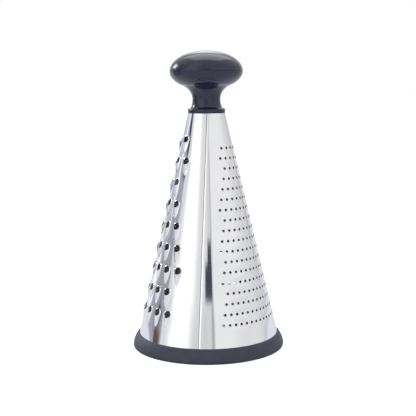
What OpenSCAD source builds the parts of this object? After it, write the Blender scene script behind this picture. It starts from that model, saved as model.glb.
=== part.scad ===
// A conical hand grater. A rolled steel cone stands in a moulded base ring, and a
// round knob is clamped into its narrow end by one screw from inside.
// Z is up, the origin is the centre of the rest face, and the front is at -Y.
// Angles round the cone are measured from the front, positive towards +X.

/* [Grating cone] */
// Outer radius of the sheet at its lower edge
cone_foot_r = 52.6; // [50:0.1:56]
// Outer radius of the sheet at its upper rim
cone_top_r = 13.8; // [13:0.1:16]
// Height of the sheet from its lower edge to its upper rim
cone_h = 167.5; // [155:0.5:180]
// Thickness of the sheet
sheet_t = 0.5; // [0.4:0.05:0.7]

/* [Lap seam] */
// Angle of the generator that the seam runs along
seam_angle = -11.4; // [-20:0.1:-5]
// Distance of the seam line from that generator
seam_offset = 2.85; // [2:0.05:5]
// Width of the strip that is pressed in beside the seam
joggle_w = 3.2; // [2.6:0.1:5]
// Width of the inner layer beyond the seam line
lap_w = 6; // [4:0.1:8]

/* [Coarse grating] */
// Angle of the middle of the coarse zone
coarse_angle = -70.7; // [-76:0.1:-66]
// Diameter of a coarse hole
coarse_d = 5.2; // [4.6:0.1:5.6]
// Distance between the holes of a row
coarse_pitch = 10.5; // [9.5:0.1:11.5]
// Distance between rows along the slope
coarse_row_pitch = 15.6; // [15:0.1:17]
// Height of the lowest row above the rest face
coarse_first_h = 31.1; // [28:0.1:34]
// Plain band left between the coarse zone and the upper rim
coarse_bare_top = 17; // [15:0.5:30]
// How far a cutting lip stands out from the sheet
lip_h = 1.7; // [1.2:0.1:2]
// Length of a lip from its hole's centre to its tail
lip_tail = 10.5; // [9.5:0.1:12]

/* [Fine grating] */
// Angle of the middle of the fine zone
fine_angle = 67.1; // [62:0.1:72]
// Diameter of a fine hole
fine_d = 2; // [1.6:0.1:2.2]
// Distance between the holes of a row
fine_pitch = 4.48; // [4.2:0.02:4.8]
// Distance between rows along the slope
fine_row_pitch = 7.33; // [7:0.01:8]
// Height of the lowest row above the rest face
fine_first_h = 25.1; // [22:0.1:28]
// Plain band left between the fine zone and the upper rim
fine_bare_top = 23; // [20:0.5:36]

/* [Slicing slots] */
// Angle of the middle of the slicing zone
slot_angle = 178; // [174:0.5:182]
// Opening above a slot's cutting edge, along the slope
slot_gap = 3; // [2.4:0.1:3.4]
// Width of the lowest slot
slot_foot_w = 44; // [36:0.5:48]
// Width of the highest slot
slot_top_w = 16; // [13:0.5:18]
// Distance between slots along the slope
slot_row_pitch = 24.5; // [22:0.5:27]
// Height of the lowest cutting edge above the rest face
slot_first_h = 35; // [32:0.5:40]
// Plain band left between the slicing zone and the upper rim
slot_bare_top = 32; // [28:0.5:44]
// How far a slot's cutting edge stands out from the sheet
slot_lip_h = 2; // [1.4:0.1:2.4]
// Length of the ramp below a cutting edge
slot_ramp = 9; // [8:0.5:11]

/* [Base ring] */
// How far the ring's widest line stands out beyond the sheet's lower edge
ring_overhang = 3.1; // [1.8:0.1:6]
// Height of the ring from the rest face to its upper lip
ring_h = 10; // [8.5:0.1:13]
// Height at which the ring is widest
ring_widest_h = 1.6; // [1:0.1:2.5]
// How far the ring's lower edge is rounded in
ring_foot_in = 0.7; // [0.4:0.1:1.2]
// Thickness of the ring's outer lip at its upper edge
ring_lip_t = 0.3; // [0.2:0.05:0.6]
// Thickness of the ring under the sheet's lower edge
ring_floor_t = 3.4; // [2.5:0.1:5]
// Height of the ring's inner wall
ring_inner_h = 7.5; // [6:0.1:8.4]
// Thickness of the ring's inner wall at its top
ring_inner_t = 1.6; // [1.2:0.1:2.2]
// Bluntness of the ring's side: 1 is a quarter ellipse, 2 a straight flare
ring_flare = 1.4; // [1.1:0.05:1.8]

/* [Knob] */
// Radius of the knob at its widest
knob_r = 26.4; // [23:0.1:29]
// Height of the crown above the widest line
crown_h = 14.7; // [12:0.1:18]
// Depth of the belly below the widest line
belly_h = 13.5; // [11:0.1:15]
// Height of the widest line above the cone's rim
knob_lift = 29.9; // [28:0.1:34]
// Wall thickness of the knob's shells
knob_wall = 2.6; // [2:0.1:3.2]
// Radius at which the neck's flare runs into the belly
flare_joint_r = 18.5; // [17:0.1:20]
// Reach of the neck's upper flare if it ran on to level
flare_w = 12; // [11.5:0.1:14]
// Radius of the neck at its waist
neck_r = 10.1; // [9:0.1:12]
// Height of the waist above the cone's rim
waist_lift = 9.9; // [8:0.1:11]
// How far the collar stays inside the sheet's upper rim
collar_inset = 0.1; // [0.05:0.05:0.2]
// Height of the collar
collar_h = 3.4; // [2:0.1:4]
// How far the collar's edge is rounded
collar_edge = 0.3; // [0.2:0.05:0.4]
// Depth of the parting groove round the knob
parting = 0.25; // [0.1:0.05:0.5]
// Depth of the spigot inside the cone's mouth
spigot_h = 2.5; // [1.5:0.1:4]
// Depth of the crown's locating skirt inside the belly
skirt_h = 3; // [2:0.1:4]
// Thickness of that skirt
skirt_t = 1.4; // [1:0.1:2]

/* [Clamp] */
// Height of the clamp plug
plug_h = 10; // [8:0.1:12]
// Thickness of the plug's web
plug_web_t = 3; // [2:0.1:4]
// Wall thickness of the plug's skirt at its upper end
plug_wall = 2; // [1.5:0.1:3]
// Radius of the screw's shank
screw_r = 2.45; // [2:0.05:3]
// Length of the screw's shank
screw_l = 16; // [13:0.5:16.5]
// Radius of the screw's head
head_r = 4.75; // [4:0.05:5.5]
// Height of the screw's head
head_h = 3.2; // [2.5:0.1:4]
// Radius over the corners of the screw's hexagonal socket
socket_r = 2.3; // [1.5:0.1:2.8]
// Depth of that socket
socket_h = 2; // [1:0.1:2.3]
// Outer radius of the washer
washer_r = 7; // [6:0.1:9]
// Thickness of the washer
washer_t = 1.2; // [0.8:0.1:1.6]
// Outer radius of the threaded insert
insert_r = 4; // [3.8:0.1:5]
// Length of the threaded insert
insert_l = 12; // [10:0.5:14]
// Depth of the groove round the insert
insert_groove = 0.5; // [0.3:0.1:0.7]

/* [Fits] */
// Clearance between pieces that fit together
fit_gap = 0.1; // [0.05:0.05:0.2]

/* [Hidden] */
$fn = 72;
// Facets round the coarse holes and lips, and round the fine holes
hole_fn = 32;
fine_fn = 16;
// Sides of the hollow under a lip
hollow_fn = 8;

// How far a cut runs past the face that it opens
overrun = 1;
// Steps along each curved stretch of an outline
curve_steps = 12;
// Holes in each coarse row, from the lowest up
coarse_counts = [6, 5, 6, 5, 4, 3, 2, 3, 2];
// Holes on each side of the middle one in each fine row, from the lowest up
fine_reach_counts = [10, 9, 8, 8, 8, 7, 7, 7, 6, 6, 5, 5, 5, 4, 3, 3, 3, 2];
// Each fine row is shifted by this share of the pitch, and every third row lines up
fine_shift_share = 1 / 3;
fine_shift_rows = 3;
// Share of the sheet's thickness by which a joined piece is sunk into it
sink_share = 0.4;
// The insert's groove starts this share of its length up, and is as wide
groove_share = 1 / 3;
// Half width of a lip where it meets its hole's centre, against the hole's radius
lip_width_share = 0.97;

// The cone's slope, and the sheet's thickness measured level
cone_slope = (cone_foot_r - cone_top_r) / cone_h;
half_angle = atan(cone_slope);
skin_t = sheet_t / cos(half_angle);
ring_r = cone_foot_r + ring_overhang;
cone_foot_z = ring_floor_t;
cone_top_z = cone_foot_z + cone_h;
mouth_r = cone_top_r - skin_t;
collar_r = cone_top_r - collar_inset;

// Heights up the knob
knob_mid_z = cone_top_z + knob_lift;
waist_z = cone_top_z + waist_lift;
collar_top_z = cone_top_z + collar_h;
collar_mid_z = cone_top_z + collar_h / 2;

// Heights down the clamp
spigot_z = cone_top_z - spigot_h;
spigot_r = mouth_r - skin_t - fit_gap;
plug_top_z = spigot_z - fit_gap;
web_z = plug_top_z - plug_web_t;
washer_z = web_z - washer_t;
insert_z = spigot_z + fit_gap;
shank_hole_r = screw_r + fit_gap;

// A row's height follows the slope, and rows stop at the plain band below the rim.
function rows(first_h, bare_top, row_pitch) =
  floor((cone_top_z - bare_top - first_h) / (row_pitch * cos(half_angle))) + 1;
function row_z(first_h, row_pitch, row) = first_h + row * row_pitch * cos(half_angle);
function count_at(counts, row) = counts[min(row, len(counts) - 1)];

// Outer radius of the sheet at a height, and the turn that an arc along it makes
function sheet_r(z) = cone_foot_r - (z - cone_foot_z) * cone_slope;
function turn(arc, z) = arc / sheet_r(z) * 180 / PI;

// A point beside a place on the sheet: up along the slope and out along the normal
function beside(z, up, out) = [
  sheet_r(z) - up * sin(half_angle) + out * cos(half_angle),
  z + up * cos(half_angle) + out * sin(half_angle)
];

// Quarter curve from (r0, z0), leaving it upright, to the given share of a level reach
function flare(r0, z0, w, h, end_turn) = [
  for (i = [0 : curve_steps])
    [r0 + w * (1 - cos(end_turn * i / curve_steps)), z0 + h * sin(end_turn * i / curve_steps)]
];

// Half outline of an ellipse between two turns above level, in the r-z plane
function bow(w, h, mid_z, from_turn, to_turn) = [
  for (i = [0 : curve_steps])
    let (a = from_turn + (to_turn - from_turn) * i / curve_steps)
      [w * cos(a), mid_z + h * sin(a)]
];

// Puts its children on the sheet: +Z along the normal, +Y up the slope
module on_sheet(angle, z) {
  rotate([0, 0, angle])
    translate([0, -sheet_r(z), z])
      rotate([90 - half_angle, 0, 0])
        children();
}

// A layer of the cone between two level depths below its outer surface
module cone_layer(depth_out, depth_in, z0, z1) {
  rotate_extrude()
    polygon([
      [sheet_r(z0) - depth_in, z0],
      [sheet_r(z0) - depth_out, z0],
      [sheet_r(z1) - depth_out, z1],
      [sheet_r(z1) - depth_in, z1]
    ]);
}

// The solid inside a cone at a level depth below the sheet's outer surface
module cone_core(depth, z0, z1) {
  translate([0, 0, z0])
    cylinder(r1 = sheet_r(z0) - depth, r2 = sheet_r(z1) - depth, h = z1 - z0);
}

// The slab beside the seam between two distances from the seam line
module seam_slab(x0, x1) {
  rotate([0, 0, seam_angle])
    translate([seam_offset + x0, -cone_foot_r - overrun, cone_foot_z - overrun])
      cube([x1 - x0, cone_foot_r + overrun, cone_h + 2 * overrun]);
}

// The inner layer of the lap, with room round it when grown
module lap_layer(grow) {
  intersection() {
    cone_layer(skin_t * (1 - sink_share), 2 * skin_t + grow, cone_foot_z - grow, cone_top_z + grow);
    seam_slab(-joggle_w - grow, lap_w + grow);
  }
}

// One end of the pressed-in strip: it sinks from the surface to the sheet's thickness
// at the seam line, and the cut runs on past both surfaces.
function joggle_point(x, depth, z) =
  let (r = sheet_r(z) - depth)
    [seam_offset + x, -sqrt(r * r - (seam_offset + x) * (seam_offset + x))];

module joggle_end(z, drop) {
  seam_point = joggle_point(0, skin_t, z);
  rise_point = joggle_point(-joggle_w, 0, z);
  past_point = rise_point + (rise_point - seam_point) * sink_share;
  translate([0, 0, z - drop])
    linear_extrude(overrun)
      polygon([
        seam_point,
        past_point,
        [past_point[0], past_point[1] - 2 * overrun],
        [seam_point[0], past_point[1] - 2 * overrun]
      ]);
}

module joggle_cut() {
  rotate([0, 0, seam_angle])
    hull() {
      joggle_end(cone_foot_z - overrun, overrun);
      joggle_end(cone_top_z + overrun, 0);
    }
}

// Coarse lip: part of a cone lying in the sheet. Its crest rises from the tail to lip_h at
// the hole's lower edge, and at the hole's centre it is a little narrower than the hole.
// Its apex is sunk in the sheet below the tail. From these come how deep its axis lies
// and how fast it widens.
hole_r = coarse_d / 2;
crest_slope = lip_h / (lip_tail - hole_r);
lip_run = lip_tail + sheet_t * sink_share / crest_slope;
mouth_h = crest_slope * lip_run;
mouth_half_w = hole_r * lip_width_share;
lip_lean = mouth_h / mouth_half_w;
lip_sink = (1 - lip_lean * lip_lean) / (1 + lip_lean * lip_lean);
lip_growth = mouth_half_w / (lip_run * sqrt(1 - lip_sink * lip_sink));
lip_dip = atan(lip_sink * lip_growth);
lip_spread = atan(lip_growth * cos(lip_dip));

// A cone from the lip's apex to its mouth. The hollow under the lip is the same cone,
// drawn in by the sheet's thickness.
module lip_cone(drawn_in, sides) {
  start = drawn_in / sin(lip_spread);
  l = lip_run / cos(lip_dip) - start;
  translate([0, -lip_run, -sheet_t * sink_share])
    rotate([-90 - lip_dip, 0, 0])
      translate([0, 0, start])
        cylinder(r1 = 0, r2 = l * tan(lip_spread), h = l, $fn = sides);
}

module each_coarse() {
  for (row = [0 : rows(coarse_first_h, coarse_bare_top, coarse_row_pitch) - 1]) {
    z = row_z(coarse_first_h, coarse_row_pitch, row);
    count = count_at(coarse_counts, row);
    for (i = [0 : count - 1])
      on_sheet(coarse_angle + turn((i - (count - 1) / 2) * coarse_pitch, z), z)
        children();
  }
}

// Fine holes stand in rows, each row shifted against the one below
module each_fine() {
  for (row = [0 : rows(fine_first_h, fine_bare_top, fine_row_pitch) - 1]) {
    z = row_z(fine_first_h, fine_row_pitch, row);
    reach = count_at(fine_reach_counts, row);
    shift = (row % fine_shift_rows) * fine_shift_share;
    for (i = [-reach : reach])
      on_sheet(fine_angle + turn((i - shift) * fine_pitch, z), z)
        children();
  }
}

// Slicing slots: a ramp rises from the sheet to a straight cutting edge, and the
// opening above the edge runs on under the ramp.
slot_rise = atan(slot_lip_h / slot_ramp);

module slot_sector(z, w, outline) {
  swing = turn(w, z);
  rotate([0, 0, slot_angle - 90 - swing / 2])
    rotate_extrude(angle = swing)
      polygon(outline);
}

module slot_ramp_solid(z, w) {
  sink = sheet_t * sink_share;
  slot_sector(z, w, [
    beside(z, -slot_ramp - sink / tan(slot_rise), -sink),
    beside(z, 0, -sink),
    beside(z, 0, slot_lip_h)
  ]);
}

module slot_cut(z, w) {
  under = sheet_t / cos(slot_rise);
  slot_sector(z, w - 2 * sheet_t, [
    beside(z, -slot_ramp, -under),
    beside(z, -slot_ramp, -under - overrun),
    beside(z, slot_gap, -under - overrun),
    beside(z, slot_gap, slot_lip_h + overrun),
    beside(z, 0, slot_lip_h + overrun),
    beside(z, 0, slot_lip_h - under)
  ]);
}

slot_rows = rows(slot_first_h, slot_bare_top, slot_row_pitch);
function slot_w(row) = slot_foot_w + (slot_top_w - slot_foot_w) * row / max(1, slot_rows - 1);

// The air inside the cone, less the inner layer of the lap. Lips and ramps are pressed
// out of the sheet, so what of them would reach in here goes with it.
module cone_inside() {
  difference() {
    cone_core(skin_t, cone_foot_z - overrun, cone_top_z + overrun);
    lap_layer(0);
  }
}

// The rolled sheet with its lap seam and its three cutting zones
module grating_cone() {
  color([0.86, 0.87, 0.89])
    difference() {
      union() {
        cone_core(0, cone_foot_z, cone_top_z);
        each_coarse()
          lip_cone(0, hole_fn);
        for (row = [0 : slot_rows - 1])
          slot_ramp_solid(row_z(slot_first_h, slot_row_pitch, row), slot_w(row));
      }
      cone_inside();
      joggle_cut();
      each_coarse() {
        lip_cone(sheet_t, hollow_fn);
        translate([0, 0, -hole_r])
          cylinder(r = hole_r, h = coarse_d + lip_h, $fn = hole_fn);
      }
      each_fine()
        translate([0, 0, -fine_d])
          cylinder(d = fine_d, h = 2 * fine_d, $fn = fine_fn);
      for (row = [0 : slot_rows - 1])
        slot_cut(row_z(slot_first_h, slot_row_pitch, row), slot_w(row));
    }
}

// The base ring: a groove takes the sheet's lower edge, the outer side flares out from a
// thin upper lip to the widest line, and the foot is rounded in.
ring_lip_r = sheet_r(ring_h) + fit_gap + ring_lip_t;
ring_bore_r = sheet_r(ring_inner_h) - skin_t - fit_gap - ring_inner_t;
ring_round = ring_inner_t * sink_share;

module base_ring() {
  color([0.25, 0.26, 0.31])
    difference() {
      rotate_extrude()
        polygon(concat(
          [
            for (i = [0 : curve_steps])
              let (a = 90 * i / curve_steps)
                [
                  ring_lip_r + (ring_r - ring_lip_r) * pow(sin(a), ring_flare),
                  ring_widest_h + (ring_h - ring_widest_h) * pow(cos(a), ring_flare)
                ]
          ],
          [
            for (i = [1 : curve_steps])
              let (a = 90 * i / curve_steps)
                [
                  ring_r - ring_foot_in * (1 - cos(a)),
                  ring_widest_h * (1 - sin(a))
                ]
          ],
          [
            [ring_bore_r + ring_round, 0],
            [ring_bore_r, ring_round],
            [ring_bore_r, ring_inner_h - ring_round],
            [ring_bore_r + ring_round, ring_inner_h],
            [sheet_r(ring_inner_h) - skin_t - fit_gap, ring_inner_h],
            [sheet_r(ring_floor_t) - skin_t - fit_gap, ring_floor_t],
            [sheet_r(ring_floor_t) + fit_gap, ring_floor_t],
            [sheet_r(ring_h) + fit_gap, ring_h]
          ]
        ));
      intersection() {
        cone_layer(0, 2 * skin_t + fit_gap, ring_floor_t, ring_h + overrun);
        seam_slab(-joggle_w - fit_gap, lap_w + fit_gap);
      }
    }
}

// The crown: a domed shell with a skirt that locates it in the belly
skirt_r = (knob_r - knob_wall) * sqrt(1 - pow(skirt_h / (belly_h - knob_wall), 2)) - fit_gap;

module knob_crown() {
  color([0.23, 0.24, 0.29])
    rotate_extrude()
      difference() {
        union() {
          polygon(concat(
            [[0, knob_mid_z], [knob_r - parting, knob_mid_z]],
            bow(knob_r, crown_h, knob_mid_z, asin(parting / crown_h), 90)
          ));
          translate([0, knob_mid_z - skirt_h])
            square([skirt_r, skirt_h + parting]);
        }
        polygon(concat(
          [[0, knob_mid_z - skirt_h - overrun], [skirt_r - skirt_t, knob_mid_z - skirt_h - overrun]],
          [[skirt_r - skirt_t, knob_mid_z]],
          bow(skirt_r - skirt_t, crown_h - knob_wall, knob_mid_z, asin(parting / crown_h), 90)
        ));
      }
}

// The knob's body: belly shell, waisted neck, collar and the spigot in the cone's mouth
flare_end = acos(1 - (flare_joint_r - neck_r) / flare_w);
belly_joint = acos(flare_joint_r / knob_r);
joint_z = knob_mid_z - belly_h * sin(belly_joint);
collar_top_r = collar_r - collar_edge;

module knob_body() {
  color([0.23, 0.24, 0.29])
    difference() {
      rotate_extrude()
        polygon(concat(
          [[0, spigot_z], [spigot_r, spigot_z], [spigot_r, cone_top_z]],
          bow(collar_edge, collar_h / 2, collar_mid_z, -90, 90) + [
            for (i = [0 : curve_steps])
              [collar_top_r, 0]
          ],
          [
            for (i = [1 : curve_steps - 1])
              let (a = 90 - 90 * i / curve_steps)
                [
                  neck_r + (collar_top_r - neck_r) * (1 - cos(a)),
                  waist_z - (waist_z - collar_top_z) * sin(a)
                ]
          ],
          flare(neck_r, waist_z, flare_w, (joint_z - waist_z) / sin(flare_end), flare_end),
          [
            for (i = [1 : curve_steps])
              let (a = belly_joint * (1 - i / curve_steps) + asin(parting / belly_h) * i / curve_steps)
                [knob_r * cos(a), knob_mid_z - belly_h * sin(a)]
          ],
          [[knob_r - parting, knob_mid_z], [knob_r - knob_wall, knob_mid_z]],
          [
            for (i = [1 : curve_steps])
              let (a = 90 * i / curve_steps)
                [
                  (knob_r - knob_wall) * cos(a),
                  knob_mid_z - (belly_h - knob_wall) * sin(a)
                ]
          ]
        ));
      translate([0, 0, spigot_z - overrun])
        cylinder(r = insert_r, h = insert_l + 2 * fit_gap + overrun);
    }
}

// Threaded insert moulded into the neck, with a groove that keys it
module threaded_insert() {
  color([0.8, 0.65, 0.3])
    translate([0, 0, insert_z])
      difference() {
        cylinder(r = insert_r, h = insert_l);
        translate([0, 0, -overrun])
          cylinder(r = screw_r, h = insert_l + 2 * overrun);
        translate([0, 0, insert_l * groove_share])
          difference() {
            cylinder(r = insert_r + overrun, h = insert_l * groove_share);
            translate([0, 0, -overrun])
              cylinder(r = insert_r - insert_groove, h = insert_l * groove_share + 2 * overrun);
          }
      }
}

// Tapered plug that the screw draws up inside the cone's narrow end
module clamp_plug() {
  color([0.15, 0.15, 0.17])
    difference() {
      cone_layer(skin_t + fit_gap, sheet_r(plug_top_z), plug_top_z - plug_h, plug_top_z);
      translate([0, 0, plug_top_z - plug_h - overrun])
        cylinder(
          r = sheet_r(plug_top_z) - skin_t - fit_gap - plug_wall,
          h = plug_h - plug_web_t + overrun
        );
      translate([0, 0, web_z - overrun])
        cylinder(r = shank_hole_r, h = plug_web_t + 2 * overrun);
      lap_layer(fit_gap);
    }
}

// Washer under the screw's head
module clamp_washer() {
  color([0.75, 0.76, 0.78])
    translate([0, 0, washer_z])
      difference() {
        cylinder(r = washer_r, h = washer_t);
        translate([0, 0, -overrun])
          cylinder(r = shank_hole_r, h = washer_t + 2 * overrun);
      }
}

// Screw driven from inside the cone, up through the plug and into the insert
module clamp_screw() {
  color([0.75, 0.76, 0.78])
    difference() {
      union() {
        translate([0, 0, washer_z - head_h])
          cylinder(r = head_r, h = head_h);
        translate([0, 0, washer_z - head_h / 2])
          cylinder(r = screw_r, h = screw_l + head_h / 2);
      }
      translate([0, 0, washer_z - head_h - overrun])
        cylinder(r = socket_r, h = socket_h + overrun, $fn = 6);
    }
}

grating_cone();
base_ring();
knob_crown();
knob_body();
threaded_insert();
clamp_plug();
clamp_washer();
clamp_screw();
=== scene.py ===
"""Conical hand grater: the looks round the packed CAD frame, laid out as an add-on.

Every piece is a numpy surface in the CAD frame, in metres: +Z up, the front at -Y, and
angles round the cone from the front, positive towards +X.
"""

import math

import bmesh
import bpy
import numpy as np
from bpy.props import FloatProperty, FloatVectorProperty, IntProperty, PointerProperty
from bpy.types import Operator, Panel, PropertyGroup
from mathutils import Matrix
from mathutils.geometry import delaunay_2d_cdt


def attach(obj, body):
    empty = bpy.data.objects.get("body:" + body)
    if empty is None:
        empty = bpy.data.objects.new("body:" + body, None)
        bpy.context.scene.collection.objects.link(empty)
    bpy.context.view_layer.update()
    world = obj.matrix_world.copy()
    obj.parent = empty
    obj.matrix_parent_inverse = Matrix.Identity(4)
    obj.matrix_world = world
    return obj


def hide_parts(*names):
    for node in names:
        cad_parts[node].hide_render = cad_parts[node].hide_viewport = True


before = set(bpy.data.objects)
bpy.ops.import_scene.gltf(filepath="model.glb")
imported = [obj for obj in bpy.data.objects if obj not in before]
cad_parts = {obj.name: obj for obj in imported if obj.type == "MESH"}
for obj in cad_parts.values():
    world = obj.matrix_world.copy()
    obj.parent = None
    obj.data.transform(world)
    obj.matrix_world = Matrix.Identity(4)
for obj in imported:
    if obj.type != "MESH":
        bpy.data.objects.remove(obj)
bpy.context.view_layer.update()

bl_info = {
    "name": "Conical Hand Grater",
    "version": (1, 0, 0),
    "blender": (4, 5, 0),
    "location": "View3D > Sidebar > Grater",
    "description": "Builds the perforated cone, ring, knob and stage of a hand grater",
    "category": "Add Mesh",
}

# Holes in each coarse row, fine holes on each side of a row's middle one, and the widths of
# the slicing slots in metres, each from the lowest up
COARSE_COUNTS = (6, 5, 6, 5, 4, 3, 2, 3, 2)
FINE_REACH = (10, 9, 8, 8, 8, 7, 7, 7, 6, 6, 5, 5, 5, 4, 3, 3, 3, 2)
SLOT_WIDTHS = (0.044, 0.037, 0.030, 0.023, 0.016)

# Powers of the formulas for a lip's section, a burr's flank and the ring's outer side
LIP_POWER = 1.6
BURR_POWER = 1.5
SIDE_POWER = 1.4

# How far a lip counts, in its lengths, and a fine hole's dent, in its radii, and the shares
# that the strip sinks to under the lap, of the sheet's thickness, and that the ring's inner
# edges are rounded by, of their wall
LIP_SPAN = 4 / 3
DENT_SPAN = 2.6
SUNK_SHARE = 1.04
ROUNDING_SHARE = 0.4

# Where the sheet's mesh points lie, as shares of what they follow: a lip's length and half
# width, half a turn round its hole and the hole's radius, a burr's width, a ramp's length
# and cheek, a slot's gap, and the seam's rolled edge, strip and lap
LIP_LENGTH_SHARES = (0.008, 0.03, 0.065, 0.11, *np.linspace(0.17, 1.0, 14))
LIP_SIDE_SHARES = (0.16, 0.34, 0.52, 0.68, 0.82, 0.93, 1.02, 1.2)
LIP_TURN_SHARES = np.linspace(-0.12, 1.12, 13)
LIP_RING_SHARES = (1.14, 1.38)
LIP_CLEAR_SHARE = 1.09
LIP_TIP_SHARE = 1.01
BURR_SHARES = (0.3, 0.65, 1.0)
RAMP_SHARES = (-1.1, -1.0, -0.9, -0.7, -0.5, -0.3, -0.14, -0.04)
CHEEK_SHARES = (0, 0.25, 0.5, 0.75, -0.5)
GAP_SHARES = (0, 0.5, 1)
ROLLED_SHARES = (0.33, 0.48, 0.64, 0.82, 1.0, 1.3)
UNDER_EDGE_SHARES = (0.5, 1.0)
STRIP_SHARES = (-1.03, -0.97, -0.8, -0.6, -0.4, -0.25, -0.1, -0.02, 0.02)
LAP_SHARE = 0.6

# Small lengths that the sheet is meshed with, in metres, and the turn of each ring of points
# round a fine hole against the last, in radians
SLOT_STEP = 0.0012
RAMP_STEP = 0.0022
BESIDE_SLOT = (0.0004, 0.0014)
PLAIN_CLEARANCE = 0.0011
SLOPE_STEP = 0.00002
TOUCH = 1e-7
RING_TWIST = 0.22

# The shares of a hole's radius within which nothing is sheet and of the seam's painted line
# within which a face of the outer skin takes the cut steel's dark tone as painted shade, the
# least shares of a lip's length and of the thickness laid off along the skin's normal, and how
# far round the axis the seam counts, in radians
HOLE_SHARE = 0.97
SEAM_SHADE_SHARE = 0.9
LEAST_LIP_SHARE = 1e-6
LEAST_NORMAL_SHARE = 0.5
BESIDE_SEAM = 1.5

# The range that most of a noise lies in
NOISE_LOW, NOISE_HIGH = 0.3, 0.7

# The photo's camera: the picture's width, the focal length and the view's sideways shift, in
# pixels, and the sensor's width in millimetres
PICTURE_PX = 416
FOCAL_PX = 918.6
SIDE_SHIFT_PX = 0.68
SENSOR_MM = 36

# The stage's plain tones behind the cards and on the floor, lit and mirrored, and the
# floor's lift for the camera
STUDIO_TONE = (0.885, 0.885, 0.895, 1)
FLOOR_TONE = (0.97, 0.97, 0.97, 1)
MIRRORED_TONE = (0.66, 0.67, 0.71, 1)
WHITE = (1, 1, 1, 1)
FLOOR_LIFT = 0.4

# What the polished steel and the glossy knob mirror, as cards on the sky. Azimuth 0 is at
# the front and elevation 0 level, both in degrees. Each card has its left and right edge at
# level, how far they lean sideways for each degree up, its lower and upper edge, the
# softness of the side edges and of the level ones, and its colour.
CARDS = (
    ("right wall", 88, 200, 0, -30, 26, 22, 4, (0.71, 0.71, 0.73)),
    ("right haze", 46, 98, 0, -30, 9, 14, 3, (0.78, 0.78, 0.79)),
    ("right post", 125, 135, 0, -30, 24, 5, 4, (0.54, 0.54, 0.56)),
    ("right end", 142, 260, 0, -30, 30, 6, 4, (0.82, 0.82, 0.84)),
    ("left wall", -200, -66, 0, -30, 40, 3, 5, (0.75, 0.75, 0.79)),
    ("left band", -126.5, -86.5, 0, -30, 12, 2, 3, (0.36, 0.365, 0.42)),
    ("low passage", -117, -104, 0, -30, 0.5, 1.5, 1.5, (0.27, 0.27, 0.32)),
    ("wood edge", -104, -89, 0, -30, 2.6, 1.5, 1.2, (0.12, 0.09, 0.085)),
    ("upper post", -103, -84.5, 0, 9, 40, 2, 3, (0.39, 0.41, 0.47)),
    ("post core", -97.5, -85, 0, 13.4, 17.2, 2, 1.2, (0.05, 0.06, 0.11)),
    ("left window", -124.5, -115.5, 0.75, 5.2, 30, 2, 2.6, (0.95, 0.95, 0.98)),
    ("far left", -240, -127, 0.75, -30, 30, 3, 4, (0.76, 0.79, 0.86)),
    ("left shade", -143, -122, 0, -1, 9, 4, 3, (0.52, 0.55, 0.63)),
    ("left glow", -260, -153, 0, -30, 12, 7, 5, (1.0, 1.0, 1.0)),
    ("lamp", -134, -116, 0, 14, 29, 4, 3, (8.0, 8.0, 8.2)),
    ("seam haze", -24, 4, 0, 11, 60, 8, 3, (0.79, 0.79, 0.80)),
    ("front haze", -32, -8, 0, -30, 12, 6, 4, (0.71, 0.71, 0.73)),
    ("front floor", -10, 11, 0, -30, 12.3, 2.5, 1, (0.69, 0.69, 0.70)),
    ("column", -1.5, 10.5, 0, 8, 28, 2, 2.5, (0.71, 0.71, 0.72)),
    ("column edge", 5.8, 10.2, 0, 4, 13, 1.2, 2, (0.46, 0.46, 0.48)),
    ("column trim", 6, 10, 0, 15, 28, 1.2, 1.5, (0.58, 0.58, 0.60)),
    ("softbox", -70, -27, 0, -30, 12, 9, 3, (1.25, 1.25, 1.25)),
    ("softbox top", -66, -23, 0, 11.5, 70, 9.5, 2, (1.25, 1.25, 1.25)),
    ("camera", -5.6, 8.3, 0, 12.5, 14.9, 0.8, 0.4, (0.06, 0.065, 0.09)),
    ("camera top", -0.6, 7.6, 0, 14, 16.4, 0.8, 0.4, (0.065, 0.07, 0.1)),
)

# Bright panels overhead and behind, by the parts of the direction that they are seen in: the
# reach in X and in Y, the least Z, the softness of these five edges, and the colour.
PANELS = (
    (
        "overhead softbox", -0.34, 0.42, 0.1, 0.74, 0.4,
        (0.1, 0.06, 0.14, 0.03, 0.05), (2.4, 2.4, 2.45),
    ),
    (
        "back window", -0.11, 0.11, 0.8, 2, 0.31,
        (0.1, 0.1, 0.03, 0.05, 0.06), (2.5, 2.5, 2.55),
    ),
)

# Painted shade and light on the floor beyond the far reach, in metres, seen only where it is
# mirrored: the left and right edge of each strip and their softness, in degrees of azimuth, and
# its colour.
FAR_REACH = 0.4
FLOOR_STRIPS = (
    ("right floor shade", 96, 138, 12, (0.54, 0.54, 0.56)),
    ("left floor shade", -129, -86, 3, (0.33, 0.33, 0.38)),
    ("lit floor", -140, -129, 3, (0.9, 0.9, 0.93)),
)


def length(name, description, default):
    """A size in metres."""
    return FloatProperty(
        name=name, description=description, default=default, min=0, precision=5,
        unit="LENGTH", subtype="DISTANCE",
    )


def angle(name, description, degrees):
    """A turn, kept in radians."""
    return FloatProperty(
        name=name, description=description, default=math.radians(degrees),
        unit="ROTATION", subtype="ANGLE",
    )


def fraction(name, description, default):
    """A part of 1."""
    return FloatProperty(name=name, description=description, default=default, min=0, max=1)


def shade(name, description, default):
    """A colour in linear values."""
    return FloatVectorProperty(
        name=name, description=description, default=default, min=0, max=1, size=3,
        subtype="COLOR",
    )


def number(name, description, default):
    """A count."""
    return IntProperty(name=name, description=description, default=default, min=1)


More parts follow.
